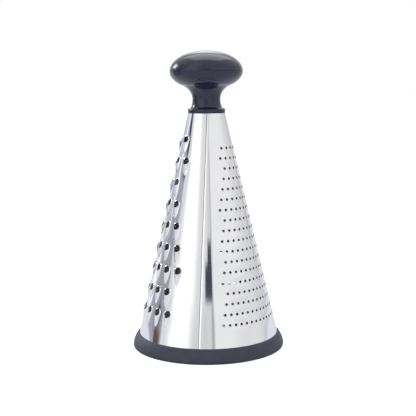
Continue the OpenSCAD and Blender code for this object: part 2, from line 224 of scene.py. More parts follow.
class SheetSettings(PropertyGroup):
    """The rolled steel sheet and its lap seam."""

    foot_r: length("Foot radius", "Outer radius at the lower edge", 0.0526)
    top_r: length("Top radius", "Outer radius at the upper rim", 0.0138)
    foot_z: length("Foot height", "Height of the lower edge", 0.0034)
    height: length("Height", "Height of the sheet", 0.1675)
    thickness: length("Thickness", "Thickness of the sheet", 0.0005)
    seam_angle: angle("Seam angle", "Angle of the generator beside the seam", -11.4)
    seam_offset: length("Seam offset", "Distance of the seam from that generator", 0.00285)
    joggle_w: length("Joggle width", "Width of the strip pressed in beside the seam", 0.01)
    flush: fraction("Joggle share", "Share of the thickness sunk to at the seam", 0.88)
    lap_w: length("Lap width", "Width of the inner layer beyond the seam", 0.006)
    edge_round: length("Edge rounding", "Width of the outer layer's rolled edge", 0.0022)
    edge_drop: length("Edge drop", "How far that edge is rolled in", 0.00036)
    edge_thin: fraction("Edge thinning", "Share of the thickness dressed off at the seam", 0.88)
    # The dark line along the seam is painted shade of the crevice under the lap's edge.
    seam_shade_w: length("Seam shade", "Width of the raw line along the seam", 0.00045)
    seam_rows: number("Seam rows", "Mesh points up the seam", 136)
    rim_points: number("Rim points", "Mesh points round the upper rim", 86)
    foot_points: number("Foot points", "Mesh points round the lower edge", 190)
    row_step: length("Row step", "Distance between the plain mesh rows", 0.003)
    turns: number("Plain columns", "Mesh columns round the plain sheet", 84)


class CoarseSettings(PropertyGroup):
    """The coarse holes with their raised lips."""

    middle: angle("Middle", "Angle of the middle of the zone", -70.7)
    hole_d: length("Hole diameter", "Diameter of a hole", 0.0052)
    sides: number("Hole sides", "Mesh points round a hole", 30)
    pitch: length("Pitch", "Distance between the holes of a row", 0.0105)
    row_pitch: length("Row pitch", "Distance between rows along the slope", 0.0156)
    first_z: length("First row", "Height of the lowest row", 0.0311)
    lip_h: length("Lip height", "How far a lip stands out", 0.0017)
    lip_tail: length("Lip length", "From the hole's centre to the lip's tail", 0.0105)
    lip_w: length("Lip half width", "Half width of a lip at the hole's centre", 0.0034)
    dent: length("Dent", "How far the sheet sinks round a lip", 0.00018)
    dent_r: length("Dent radius", "Reach of that dent to each side", 0.0035)


class FineSettings(PropertyGroup):
    """The fine holes with their burrs."""

    middle: angle("Middle", "Angle of the middle of the zone", 67.1)
    hole_d: length("Hole diameter", "Diameter of a hole", 0.002)
    sides: number("Hole sides", "Mesh points round a hole", 14)
    pitch: length("Pitch", "Distance between the holes of a row", 0.00448)
    row_pitch: length("Row pitch", "Distance between rows along the slope", 0.00733)
    first_z: length("First row", "Height of the lowest row", 0.0251)
    burr_h: length("Burr height", "How far the punched burr stands out", 0.00014)
    burr_w: length("Burr width", "Width of the burr's flank", 0.0005)
    dent: length("Dent", "How far the sheet sinks round a hole", 0.0001)
    dent_r: length("Dent radius", "Reach of that dent", 0.0021)


class SlotSettings(PropertyGroup):
    """The slicing slots at the back."""

    middle: angle("Middle", "Angle of the middle of the zone", 178)
    gap: length("Gap", "Opening above a cutting edge", 0.003)
    row_pitch: length("Row pitch", "Distance between slots along the slope", 0.0245)
    first_z: length("First slot", "Height of the lowest cutting edge", 0.035)
    lip_h: length("Edge height", "How far a cutting edge stands out", 0.002)
    ramp: length("Ramp", "Length of the ramp below a cutting edge", 0.009)
    cheek: length("Cheek", "Width of the ramp's sloping ends", 0.0009)


class RingSettings(PropertyGroup):
    """The moulded base ring."""

    widest_r: length("Widest radius", "Radius at the widest line", 0.0557)
    height: length("Height", "Height of the upper lip", 0.01)
    widest_z: length("Widest height", "Height of the widest line", 0.0016)
    foot_in: length("Foot rounding", "How far the foot is rounded in", 0.0007)
    lip_t: length("Lip thickness", "Thickness of the outer lip at its top", 0.0003)
    inner_h: length("Inner height", "Height of the inner wall", 0.0075)
    inner_t: length("Inner thickness", "Thickness of the inner wall", 0.0016)
    fit: length("Fit", "Clearance round the sheet", 0.0001)
    columns: number("Columns", "Mesh columns round the axis", 240)


class KnobSettings(PropertyGroup):
    """The two shells of the knob, with the neck and the collar."""

    widest_r: length("Widest radius", "Radius at the widest line", 0.0264)
    mid_z: length("Widest height", "Height of the widest line", 0.2008)
    crown_h: length("Crown height", "Height of the crown", 0.0147)
    belly_h: length("Belly depth", "Depth of the belly", 0.0135)
    wall: length("Wall", "Wall thickness of the shells", 0.0026)
    flare_joint_r: length("Flare joint", "Radius where the flare meets the belly", 0.0185)
    flare_w: length("Flare reach", "Reach of the neck's upper flare", 0.012)
    neck_r: length("Neck radius", "Radius at the waist", 0.0101)
    waist_z: length("Waist height", "Height of the waist", 0.1808)
    collar_r: length("Collar radius", "Radius of the collar", 0.0137)
    collar_z: length("Collar height", "Height of the collar's underside", 0.1709)
    collar_h: length("Collar thickness", "Height of the collar's bead", 0.0034)
    bead_z: length("Bead height", "Height of the bead's widest line over its underside", 0.0019)
    bead_foot: length("Bead foot", "How far the bead is tucked in below", 0.0006)
    bead_top: length("Bead top", "How far the bead is rounded in above", 0.0013)
    groove: length("Parting groove", "Depth of the groove between the shells", 0.00005)
    spigot_r: length("Spigot radius", "Radius of the spigot in the cone", 0.01267)
    spigot_z: length("Spigot height", "Height of the spigot's end", 0.1684)
    bore_r: length("Bore radius", "Radius of the insert's seat", 0.004)
    bore_h: length("Bore depth", "Depth of the insert's seat", 0.0122)
    skirt_h: length("Skirt depth", "Depth of the crown's skirt", 0.003)
    skirt_t: length("Skirt thickness", "Thickness of that skirt", 0.0014)
    skirt_fit: length("Skirt fit", "Clearance round that skirt", 0.0001)
    columns: number("Columns", "Mesh columns round the axis", 160)


class StageSettings(PropertyGroup):
    """Floor and camera."""

    distance: length("Camera distance", "From the cone's axis to the camera", 0.667)
    eye_z: length("Camera height", "Height of the camera", 0.192)
    pitch: angle("Camera pitch", "How far the camera looks down", 7.72)
    roll: angle("Camera roll", "How far the picture leans", 0.487)
    near: length("Nearest", "Nearest distance that the camera sees", 0.01)
    floor_r: length("Floor radius", "Radius of the floor", 6.0)


class FinishSettings(PropertyGroup):
    """The finishes, each between a darker and a paler tone."""

    steel_dark: shade("Steel, dark", "Polished steel's darker tone", (0.86, 0.865, 0.88))
    steel_pale: shade("Steel, pale", "Polished steel's paler tone", (0.92, 0.922, 0.93))
    mill_dark: shade("Inside, dark", "Unpolished steel's darker tone", (0.76, 0.76, 0.77))
    mill_pale: shade("Inside, pale", "Unpolished steel's paler tone", (0.82, 0.82, 0.83))
    # The cut tones are partly the dull finish of a sheared face and partly painted shade: they
    # keep the holes' walls dark and paint the dark line along the seam.
    cut_dark: shade("Cut, dark", "Cut faces' darker tone", (0.1, 0.1, 0.12))
    cut_pale: shade("Cut, pale", "Cut faces' paler tone", (0.16, 0.16, 0.18))
    ring_dark: shade("Ring, dark", "Ring's darker tone", (0.026, 0.03, 0.05))
    ring_pale: shade("Ring, pale", "Ring's paler tone", (0.036, 0.041, 0.064))
    knob_dark: shade("Knob, dark", "Knob's darker tone", (0.010, 0.0115, 0.030))
    knob_pale: shade("Knob, pale", "Knob's paler tone", (0.016, 0.018, 0.042))
    brass_dark: shade("Insert, dark", "Brass insert's darker tone", (0.6, 0.43, 0.17))
    brass_pale: shade("Insert, pale", "Brass insert's paler tone", (0.76, 0.57, 0.26))
    plug_dark: shade("Plug, dark", "Plug's darker tone", (0.018, 0.018, 0.022))
    plug_pale: shade("Plug, pale", "Plug's paler tone", (0.03, 0.03, 0.035))
    screw_dark: shade("Screw, dark", "Screw and washer, darker tone", (0.5, 0.5, 0.51))
    screw_pale: shade("Screw, pale", "Screw and washer, paler tone", (0.66, 0.66, 0.67))


GROUPS = {
    "grater_sheet": SheetSettings,
    "grater_coarse": CoarseSettings,
    "grater_fine": FineSettings,
    "grater_slot": SlotSettings,
    "grater_ring": RingSettings,
    "grater_knob": KnobSettings,
    "grater_finish": FinishSettings,
    "grater_stage": StageSettings,
}


def smooth(x):
    """0 below 0, 1 above 1, and 3x^2 - 2x^3 between."""
    x = np.clip(x, 0.0, 1.0)
    return x * x * (3 - 2 * x)


class Blank:
    """The sheet's flat pattern in polar form, and the cone that it is rolled to.

    A point is (turn, reach): reach is its distance from the cone's apex along the slope,
    and turn the angle round that apex in the flat, which is the angle round the cone times
    the sine of the half angle.
    """

    def __init__(self, s):
        slope = (s.foot_r - s.top_r) / s.height
        self.half = math.atan(slope)
        self.sin, self.cos = math.sin(self.half), math.cos(self.half)
        self.apex_z = s.foot_z + s.foot_r / slope
        self.s = s

    def at(self, around, z):
        """Flat polar points at angles round the cone and heights."""
        around, z = np.broadcast_arrays(np.asarray(around, float), np.asarray(z, float))
        return np.stack([around * self.sin, (self.apex_z - z) / self.cos], -1)

    def rolled(self, q):
        """Places on the cone, with the normal, the side direction and the way up the slope."""
        around, reach = q[:, 0] / self.sin, q[:, 1]
        ca, sa, r = np.cos(around), np.sin(around), reach * self.sin
        flat = np.zeros_like(ca)
        place = np.stack([r * sa, -r * ca, self.apex_z - reach * self.cos], -1)
        normal = np.stack([self.cos * sa, -self.cos * ca, flat + self.sin], -1)
        side = np.stack([ca, sa, flat], -1)
        up = np.stack([-self.sin * sa, self.sin * ca, flat + self.cos], -1)
        return place, normal, side, up

    def seam(self, x, z):
        """Angle round the cone of the line that lies x beyond the seam line, at heights z."""
        r = (self.apex_z - z) * math.tan(self.half)
        return self.s.seam_angle + np.arcsin((self.s.seam_offset + x) / r)


def local(q, centre):
    """Distances beside a centre on the blank: across, and up the slope."""
    return (q[:, 0] - centre[0]) * centre[1], centre[1] - q[:, 1]


def beside(centre, x, y):
    """Blank points at distances across and up the slope from a centre."""
    return np.stack([centre[0] + np.asarray(x) / centre[1], centre[1] - np.asarray(y)], -1)


def hole_centres(blank, zone, rows):
    """Centres of a zone's holes: rows by height, each at its places beside the zone's middle,
    which are counted in pitches."""
    centres = []
    for row, places in enumerate(rows):
        z = zone.first_z + row * zone.row_pitch * blank.cos
        middle = blank.at(zone.middle % (2 * math.pi), z)
        centres.append(beside(middle, places * zone.pitch, 0 * places))
    return np.concatenate(centres)


def slot_centres(blank, g):
    """Middles of the slicing edges, from the lowest up."""
    z = g.first_z + np.arange(len(SLOT_WIDTHS)) * g.row_pitch * blank.cos
    return blank.at(g.middle, z)


def lip_half_width(s, c):
    """Half width of a lip at share s of its length: the full half width times s^0.5."""
    return c.lip_w * np.sqrt(s)


def lip_relief(x, y, c):
    """Height of a coarse lip. The crest rises evenly from the tail to lip_h at the hole's
    lower edge, across it the height is (1 - (x / half width)^2)^1.6, which runs into the
    sheet as a fillet, and beside the hole's upper half it fades out. Round it the sheet
    sinks as a bell curve of the distance."""
    s = np.clip(1 + y / c.lip_tail, LEAST_LIP_SHARE, 1)
    crest = c.lip_h * s / (1 - c.hole_d / 2 / c.lip_tail)
    section = np.clip(1 - (x / lip_half_width(s, c)) ** 2, 0, 1) ** LIP_POWER
    sunk = np.exp(-((x / c.dent_r) ** 2) - ((y + c.lip_tail / 3) / (2 * c.dent_r)) ** 2)
    return crest * section * (1 - smooth(y / (c.hole_d / 2))) - c.dent * sunk


def burr_relief(x, y, f):
    """Height round a fine hole: a burr that falls off as (1 - d / width)^1.5, in a dent
    that falls off as the bell curve of the distance."""
    r = np.hypot(x, y)
    burr = f.burr_h * np.clip(1 - (r - f.hole_d / 2) / f.burr_w, 0, 1) ** BURR_POWER
    return burr - f.dent * np.exp(-((r / f.dent_r) ** 2))


def slot_relief(x, y, w, g):
    """Height of a slicing ramp: it rises evenly to the cutting edge, and slopes down at
    its two ends."""
    rise = np.clip(1 + y / g.ramp, 0, 1) * (y < g.gap / 2)
    return g.lip_h * rise * smooth((w / 2 - np.abs(x)) / g.cheek)


def beyond_seam(blank, q, turns):
    """Distance beyond the seam line of points at one end of the sheet: turns is 0 at its
    start, on the outside of the lap, and 1 at its end."""
    lean = q[:, 0] / blank.sin - 2 * math.pi * turns - blank.s.seam_angle
    lean = np.clip(lean, -BESIDE_SEAM, BESIDE_SEAM)
    return q[:, 1] * blank.sin * np.sin(lean) - blank.s.seam_offset


def seam_relief(blank, q):
    """Depth beside the seam: the strip left of it sinks evenly to flush times the sheet's
    thickness, and on under the outer layer to a little over the whole of it, and that
    layer's own edge is rolled in as the square of the distance."""
    s = blank.s
    x = beyond_seam(blank, q, 1)
    share = s.flush * np.clip(x / s.joggle_w + 1, 0, 1)
    share += (SUNK_SHARE - s.flush) * np.clip(x / s.edge_round, 0, 1)
    edge = np.clip(1 - beyond_seam(blank, q, 0) / s.edge_round, 0, 1)
    return -s.thickness * share - s.edge_drop * edge**2


def lip_net(c):
    """Mesh points of a coarse hole, across and up from its centre: a net whose lines follow
    the lip's half width, part rings beside the hole, and a point at the lip's tail."""
    r = c.hole_d / 2
    half = np.array(LIP_SIDE_SHARES)
    sides = np.concatenate([-half[::-1], [0], half])
    share, side = np.meshgrid(LIP_LENGTH_SHARES, sides, indexing="ij")
    x, y = (side * lip_half_width(share, c)).ravel(), ((share - 1) * c.lip_tail).ravel()
    t = LIP_TURN_SHARES * math.pi
    for ring in LIP_RING_SHARES:
        x, y = np.append(x, ring * r * np.cos(t)), np.append(y, ring * r * np.sin(t))
    keep = np.hypot(x, y) > r * LIP_CLEAR_SHARE
    return np.append(x[keep], 0), np.append(y[keep], -LIP_TIP_SHARE * c.lip_tail)


def burr_net(f):
    """Mesh points of a fine hole: rings over its burr and one at the dent's reach."""
    t = np.arange(f.sides) * 2 * math.pi / f.sides
    radii = [f.hole_d / 2 + k * f.burr_w for k in BURR_SHARES] + [f.dent_r]
    x = np.concatenate([r * np.cos(t + i * RING_TWIST) for i, r in enumerate(radii)])
    y = np.concatenate([r * np.sin(t + i * RING_TWIST) for i, r in enumerate(radii)])
    return x, y


def ramp_net(g, w):
    """Mesh points of a slot w wide: a net over the ramp, closer at its sloping ends, and a
    few points beside the slot's own ends."""
    plain = w / 2 - g.cheek
    x = np.concatenate([
        np.linspace(-plain, plain, int(w / RAMP_STEP)),
        [k * (w / 2 - g.cheek * q) for k in (-1, 1) for q in CHEEK_SHARES],
    ])
    xg, yg = np.meshgrid(x, np.array(RAMP_SHARES) * g.ramp)
    ends = [k * (w / 2 + q) for k in (-1, 1) for q in BESIDE_SLOT]
    xe, ye = np.meshgrid(ends, np.array(GAP_SHARES) * g.gap)
    return np.append(xg, xe), np.append(yg, ye)


def seam_lines(blank):
    """Blank points on lines along the seam: over the outer layer's edge, over the joggled
    strip, and on the inner layer under the lap."""
    s = blank.s
    z = np.linspace(s.foot_z, s.foot_z + s.height, s.seam_rows)[1:-1]
    rolled = np.array(ROLLED_SHARES) * s.edge_round
    # The first two lines bound the dark line that is painted along the seam as shade.
    lines = [blank.at(blank.seam(x, z), z) for x in (s.seam_shade_w / 2, s.seam_shade_w, *rolled)]
    strip = np.array(STRIP_SHARES) * s.joggle_w
    under = np.array(UNDER_EDGE_SHARES) * s.edge_round
    for x in (*strip, *under, LAP_SHARE * s.lap_w):
        lines.append(blank.at(2 * math.pi + blank.seam(x, z), z))
    return lines


def open_edges(tri, n):
    """Edges that only one triangle has, as pairs of the n points, in that triangle's order."""
    pairs = np.concatenate([tri[:, [0, 1]], tri[:, [1, 2]], tri[:, [2, 0]]])
    code = np.sort(pairs, 1) @ np.array([n, 1])
    _, index, count = np.unique(code, return_index=True, return_counts=True)
    return pairs[index[count == 1]]


class Sheet:
    """The perforated sheet as a triangle mesh: the flat pattern with its holes is meshed
    with the relief as height, rolled to the cone, and given its thickness."""

    def __init__(self, scene):
        self.s, self.c = scene.grater_sheet, scene.grater_coarse
        self.f, self.g = scene.grater_fine, scene.grater_slot
        self.blank = Blank(self.s)
        even = [np.arange(n) - (n - 1) / 2 for n in COARSE_COUNTS]
        shifted = [np.arange(-n, n + 1) - (row % 3) / 3 for row, n in enumerate(FINE_REACH)]
        self.coarse = hole_centres(self.blank, self.c, even)
        self.fine = hole_centres(self.blank, self.f, shifted)
        self.slots = slot_centres(self.blank, self.g)

    def relief(self, q):
        """Height over the plain cone, as the sum of all that is pressed into the sheet."""
        h = seam_relief(self.blank, q)
        c, f, g = self.c, self.f, self.g
        jobs = [(p, LIP_SPAN * c.lip_tail, lip_relief, (c,)) for p in self.coarse]
        jobs += [(p, DENT_SPAN * f.dent_r, burr_relief, (f,)) for p in self.fine]
        jobs += [(p, w, slot_relief, (w, g)) for p, w in zip(self.slots, SLOT_WIDTHS)]
        for centre, reach, form, more in jobs:
            x, y = local(q, centre)
            near = (np.abs(x) < reach) & (np.abs(y) < reach)
            h[near] += form(x[near], y[near], *more)
        return h

    def outline(self):
        """The blank's edge: up along the seam, round the rim, down the lap's inner edge
        and back along the foot."""
        s, b = self.s, self.blank
        z = np.linspace(s.foot_z, s.foot_z + s.height, s.seam_rows)
        end = 2 * math.pi + b.seam(s.lap_w, z)
        top = np.linspace(b.seam(0, z[-1]), end[-1], s.rim_points)[1:-1]
        foot = np.linspace(b.seam(0, z[0]), end[0], s.foot_points)[1:-1]
        return np.concatenate([
            b.at(b.seam(0, z), z), b.at(top, z[-1]), b.at(end, z)[::-1], b.at(foot, z[0])[::-1],
        ])

    def hole_loops(self):
        """Closed loops of blank points round every hole and slot."""
        loops = []
        for centres, holes in ((self.coarse, self.c), (self.fine, self.f)):
            r, t = holes.hole_d / 2, np.arange(holes.sides) * 2 * math.pi / holes.sides
            loops += [beside(p, r * np.cos(t), r * np.sin(t)) for p in centres]
        gap = self.g.gap
        for p, w in zip(self.slots, SLOT_WIDTHS):
            half = w / 2 - self.s.thickness
            x = np.linspace(-half, half, int(w / SLOT_STEP))
            end = np.array([gap / 3, gap * 2 / 3])
            loops.append(beside(
                p,
                np.concatenate([x, [half, half], x[::-1], [-half, -half]]),
                np.concatenate([0 * x, end, 0 * x + gap, end[::-1]]),
            ))
        return loops

    def feature_points(self):
        """Blank points that carry the relief: the nets of every lip, burr and ramp, and the
        lines along the seam."""
        lip, burr = lip_net(self.c), burr_net(self.f)
        points = [beside(p, *lip) for p in self.coarse]
        points += [beside(p, *burr) for p in self.fine]
        points += [beside(p, *ramp_net(self.g, w)) for p, w in zip(self.slots, SLOT_WIDTHS)]
        return np.concatenate(points + seam_lines(self.blank))

    def plain_points(self, taken):
        """Staggered rows over the plain sheet, kept clear of the points that are taken."""
        s, b = self.s, self.blank
        rows = int(s.height / s.row_step)
        turn = 2 * math.pi / s.turns
        grid = []
        for row in range(1, rows):
            z = s.foot_z + row * s.height / rows
            start = b.seam(0, z) + (1 - row % 2 / 2) * turn
            grid.append(b.at(np.arange(start, 2 * math.pi + b.seam(s.lap_w, z), turn), z))
        grid = np.concatenate(grid)
        flat, used = flat_points(grid), flat_points(taken)
        clear = np.ones(len(grid), bool)
        batch = 400
        for i in range(0, len(grid), batch):
            d = flat[i : i + batch, None] - used[None]
            clear[i : i + batch] = (d**2).sum(-1).min(1) > PLAIN_CLEARANCE**2
        return grid[clear]

    def triangles(self):
        """Blank points and triangles of the sheet with its holes left open, meshed flat in
        millimetres."""
        loops = [self.outline()] + self.hole_loops()
        features = self.feature_points()
        taken = np.concatenate(loops + [features])
        flat = flat_points(np.concatenate([taken, self.plain_points(taken)]))
        edges, start = [], 0
        for loop in loops:
            i = np.arange(len(loop))
            edges.append(np.stack([start + i, start + (i + 1) % len(loop)], 1))
            start += len(loop)
        scale, merged = 1000, 1e-5
        net = delaunay_2d_cdt(
            (flat * scale).tolist(), np.concatenate(edges).tolist(), [], 0, merged, False
        )
        flat, tri = np.array(net[0]) / scale, np.array(net[2])
        tri = tri[self.inside(polar_points(flat[tri].mean(1)))]
        used, tri = np.unique(tri, return_inverse=True)
        return polar_points(flat[used]), tri.reshape(-1, 3)

    def inside(self, q):
        """Which blank points are on the sheet: within its outline and in no hole."""
        s, b = self.s, self.blank
        z = b.apex_z - q[:, 1] * b.cos
        low = b.seam(0, z) * b.sin - TOUCH
        high = (2 * math.pi + b.seam(s.lap_w, z)) * b.sin + TOUCH
        on = (q[:, 0] > low) & (q[:, 0] < high) & (z < s.foot_z + s.height - TOUCH)
        for centres, d in ((self.coarse, self.c.hole_d), (self.fine, self.f.hole_d)):
            for p in centres:
                x, y = local(q, p)
                on &= np.hypot(x, y) > d / 2 * HOLE_SHARE
        for p, w in zip(self.slots, SLOT_WIDTHS):
            x, y = local(q, p)
            on &= (np.abs(x) > w / 2 - s.thickness) | (y < 0) | (y > self.g.gap)
        return on

    def slopes(self, q):
        """How steeply the relief rises to the side and up the slope, by central differences."""
        across = np.stack([SLOPE_STEP / q[:, 1], 0 * q[:, 1]], 1)
        along = np.array([[0, -SLOPE_STEP]])
        return [
            (self.relief(q + step) - self.relief(q - step))[:, None] / (2 * SLOPE_STEP)
            for step in (across, along)
        ]

    def skins(self, q):
        """The outer and the inner skin's points with the outer one's normals, which are the
        cone's own less each slope times its direction. The thickness is laid off along them,
        the more along the cone's own the steeper it is, and is dressed thin at the seam."""
        place, normal, side, up = self.blank.rolled(q)
        to_side, to_top = self.slopes(q)
        lean = normal - to_side * side - to_top * up
        lean /= np.linalg.norm(lean, axis=1, keepdims=True)
        outer = place + self.relief(q)[:, None] * normal
        soft = np.clip(np.einsum("ij,ij->i", lean, normal), LEAST_NORMAL_SHARE, 1)[:, None]
        edge = np.clip(1 - beyond_seam(self.blank, q, 0) / self.s.edge_round, 0, 1)
        thick = self.s.thickness * (1 - self.s.edge_thin * edge)[:, None]
        inner = outer - thick * (lean * soft + normal * (1 - soft))
        inner[:, 2] = np.maximum(inner[:, 2], self.s.foot_z)
        return outer, inner, lean

    def build(self):
        """Outer and inner skin, and the cut edges between them, with each corner's normal and
        each face's material: 0 outside, 1 inside, and 2 where the steel is cut and, as painted
        shade, on the outer skin's line along the seam."""
        q, tri = self.triangles()
        n = len(q)
        outer, inner, lean = self.skins(q)
        verts = np.concatenate([outer, inner])
        rim = open_edges(tri, n)
        quads = np.stack([rim[:, 1], rim[:, 0], rim[:, 0] + n, rim[:, 1] + n], 1)
        a, b, c = verts[quads[:, 0]], verts[quads[:, 1]], verts[quads[:, 3]]
        flat = np.cross(b - a, c - a)
        cut = np.zeros((n, 3))
        for k in (0, 1):
            np.add.at(cut, rim[:, k], flat)
        nothing = 1e-12
        cut /= np.maximum(np.linalg.norm(cut, axis=1, keepdims=True), nothing)
        corner_normals = np.concatenate([
            lean[tri].reshape(-1, 3),
            -lean[tri[:, ::-1]].reshape(-1, 3),
            cut[quads % n].reshape(-1, 3),
        ])
        faces = tri.tolist() + (tri[:, ::-1] + n).tolist() + quads.tolist()
        # Faces of the outer skin next to the seam take the cut steel's dark tone: painted shade of
        # the crevice under the lap's edge.
        beyond = beyond_seam(self.blank, q, 0)
        shaded = beyond[tri].mean(1) < SEAM_SHADE_SHARE * self.s.seam_shade_w
        looks = np.concatenate([2 * shaded, np.ones(len(tri), int), np.full(len(quads), 2)])
        return verts, faces, corner_normals, looks


def flat_points(q):
    """Flat xy points of polar ones."""
    return np.stack([q[:, 1] * np.sin(q[:, 0]), -q[:, 1] * np.cos(q[:, 0])], 1)


def polar_points(xy):
    """Polar blank points of flat ones: the turn from the front, and the distance."""
    return np.stack([np.arctan2(xy[:, 0], -xy[:, 1]), np.hypot(xy[:, 0], xy[:, 1])], 1)


def add_object(name, verts, faces, material):
    """A smooth mesh object at the origin, in the scene's collection."""
    mesh = bpy.data.meshes.new(name)
    mesh.from_pydata(np.asarray(verts).tolist(), [], faces)
    mesh.polygons.foreach_set("use_smooth", np.ones(len(mesh.polygons), bool))
    mesh.materials.append(material)
    obj = bpy.data.objects.new(name, mesh)
    bpy.context.scene.collection.objects.link(obj)
    return obj


def revolve(name, profile, columns, material, crease=0.7):
    """Turns an r-z outline round the axis: column k stands at angle 2 pi k / columns. Points
    on the axis are merged, and edges sharper than the crease, in radians, stay sharp."""
    profile = np.array(profile, float)
    profile[profile[:, 0] < TOUCH, 0] = 0
    t = np.arange(columns) * 2 * math.pi / columns
    r, z = profile[:, :1], profile[:, 1:]
    verts = np.stack([r * np.sin(t), -r * np.cos(t), z + 0 * t], -1).reshape(-1, 3)
    i = np.arange(len(profile))[:, None] * columns
    k = np.arange(columns)[None]
    j = np.roll(i, -1, 0)
    after = (k + 1) % columns
    quads = np.stack([i + k, i + after, j + after, j + k], -1).reshape(-1, 4)
    obj = add_object(name, verts, quads.tolist(), material)
    bm = bmesh.new()
    bm.from_mesh(obj.data)
    bmesh.ops.remove_doubles(bm, verts=bm.verts, dist=TOUCH)
    bmesh.ops.recalc_face_normals(bm, faces=bm.faces)
    bm.to_mesh(obj.data)
    bm.free()
    obj.data.set_sharp_from_angle(angle=crease)
    return obj


def arc(w, h, r0, z0, start, end, points):
    """Part of an ellipse about (r0, z0), as r-z points: w times the cosine and h times the
    sine of an angle that goes from start to end, in degrees."""
    t = np.linspace(math.radians(start), math.radians(end), points)
    return np.stack([r0 + w * np.cos(t), z0 + h * np.sin(t)], 1)


def ring_profile(r, s):
    """The ring's r-z outline. Down its outer side the radius grows with the sine and the
    height falls with the cosine of the same angle, both to the power 1.4. Then come the
    rounded foot, the flat rest face, the inner wall, and the groove that holds the sheet's
    lower edge with the fit as its clearance."""
    slope = (s.foot_r - s.top_r) / s.height
    skin = s.thickness / math.cos(math.atan(slope))

    def sheet_r(z):
        return s.foot_r - (z - s.foot_z) * slope

    lip_r = sheet_r(r.height) + r.fit + r.lip_t
    wall_r = sheet_r(r.inner_h) - skin - r.fit
    bore = wall_r - r.inner_t
    t = np.linspace(0.0, math.pi / 2, 40)
    side = np.stack([
        lip_r + (r.widest_r - lip_r) * np.sin(t) ** SIDE_POWER,
        r.widest_z + (r.height - r.widest_z) * np.cos(t) ** SIDE_POWER,
    ], 1)
    soft = r.inner_t * ROUNDING_SHARE
    return np.concatenate([
        side,
        arc(r.foot_in, r.widest_z, r.widest_r - r.foot_in, r.widest_z, 0, -90, points=12)[1:],
        arc(soft, soft, bore + soft, soft, -90, -180, points=6),
        arc(soft, soft, bore + soft, r.inner_h - soft, 180, 90, points=6),
        [
            [wall_r, r.inner_h],
            [sheet_r(s.foot_z) - 2 * skin - r.fit, s.foot_z],
            [sheet_r(s.foot_z) + r.fit, s.foot_z],
            [sheet_r(r.height) + r.fit, r.height],
        ],
    ])


def groove_angle(k):
    """How far from level the parting groove's edges are, in degrees."""
    return math.degrees(math.asin(k.groove / k.crown_h))


def crown_profile(k):
    """The crown's r-z outline: a quarter of an ellipse outside and a smaller one inside, and
    a skirt that goes down into the belly, with the skirt fit as its clearance."""
    sunk = k.skirt_h / (k.belly_h - k.wall)
    skirt_r = (k.widest_r - k.wall) * math.sqrt(1 - sunk**2) - k.skirt_fit
    dome = skirt_r - k.skirt_t
    return np.concatenate([
        [[k.widest_r - 2 * k.groove, k.mid_z]],
        arc(k.widest_r, k.crown_h, 0, k.mid_z, groove_angle(k), 90, points=56),
        arc(dome, k.crown_h - k.wall, 0, k.mid_z, 90, 0, points=20),
        [[dome, k.mid_z - k.skirt_h], [skirt_r, k.mid_z - k.skirt_h], [skirt_r, k.mid_z]],
    ])


def belly_profile(k):
    """The belly's r-z outline, from the insert's seat round the spigot, the collar's bead,
    the neck and the belly to its inner wall, which starts a degree under the widest line.
    From the waist, the neck's radius grows with 1 less the cosine and its height changes
    with the sine of an angle: up to where it meets the belly's ellipse, and a quarter turn
    down to the bead."""
    inner_r = k.widest_r - k.wall
    flare_end = math.acos(1 - (k.flare_joint_r - k.neck_r) / k.flare_w)
    joint = math.acos(k.flare_joint_r / k.widest_r)
    joint_z = k.mid_z - k.belly_h * math.sin(joint)
    rise = (joint_z - k.waist_z) / math.sin(flare_end)
    t = np.linspace(0, flare_end, 24)[1:]
    flare = np.stack([
        k.neck_r + k.flare_w * (1 - np.cos(t)), k.waist_z + rise * np.sin(t),
    ], 1)
    top_r, top_z = k.collar_r - k.bead_top, k.collar_z + k.collar_h
    foot_r, wide_z = k.collar_r - k.bead_foot, k.collar_z + k.bead_z
    t = np.linspace(math.pi / 2, 0, 18)[1:]
    neck = np.stack([
        k.neck_r + (top_r - k.neck_r) * (1 - np.cos(t)),
        k.waist_z - (k.waist_z - top_z) * np.sin(t),
    ], 1)
    outer_start, outer_end = -math.degrees(joint), -groove_angle(k)
    return np.concatenate([
        [[0, k.spigot_z + k.bore_h], [k.bore_r, k.spigot_z + k.bore_h]],
        [[k.bore_r, k.spigot_z], [k.spigot_r, k.spigot_z], [k.spigot_r, k.collar_z]],
        arc(k.bead_foot, k.bead_z, foot_r, wide_z, -90, 0, points=12),
        arc(k.bead_top, k.collar_h - k.bead_z, top_r, wide_z, 0, 90, points=10)[1:],
        neck,
        flare,
        arc(k.widest_r, k.belly_h, 0, k.mid_z, outer_start, outer_end, points=30)[1:],
        [[k.widest_r - 2 * k.groove, k.mid_z], [inner_r, k.mid_z]],
        arc(inner_r, k.belly_h - k.wall, 0, k.mid_z, -1, -90, points=20),
    ])


def new_material(name, **values):
    """A Principled material with its uniform values set on the shader's own sockets."""
    mat = bpy.data.materials.new(name)
    mat.use_nodes = True
    shader = mat.node_tree.nodes["Principled BSDF"]
    for key, value in values.items():
        shader.inputs[key.replace("_", " ").title().replace("Ior", "IOR")].default_value = value
    return mat, mat.node_tree, shader


def add_node(tree, kind, inputs=None, **attrs):
    """A node with its attributes, and its inputs set or linked by name or number."""
    node = tree.nodes.new(kind)
    for key, value in attrs.items():
        setattr(node, key, value)
    for key, value in (inputs or {}).items():
        socket = node.inputs[key]
        if isinstance(value, bpy.types.NodeSocket):
            tree.links.new(value, socket)
        else:
            socket.default_value = value
    return node


def mixed(tree, share, under, over, label=""):
    """One colour mixed over another by a share."""
    inputs = {0: share, 6: under, 7: over}
    return add_node(tree, "ShaderNodeMix", inputs, data_type="RGBA", label=label).outputs[2]


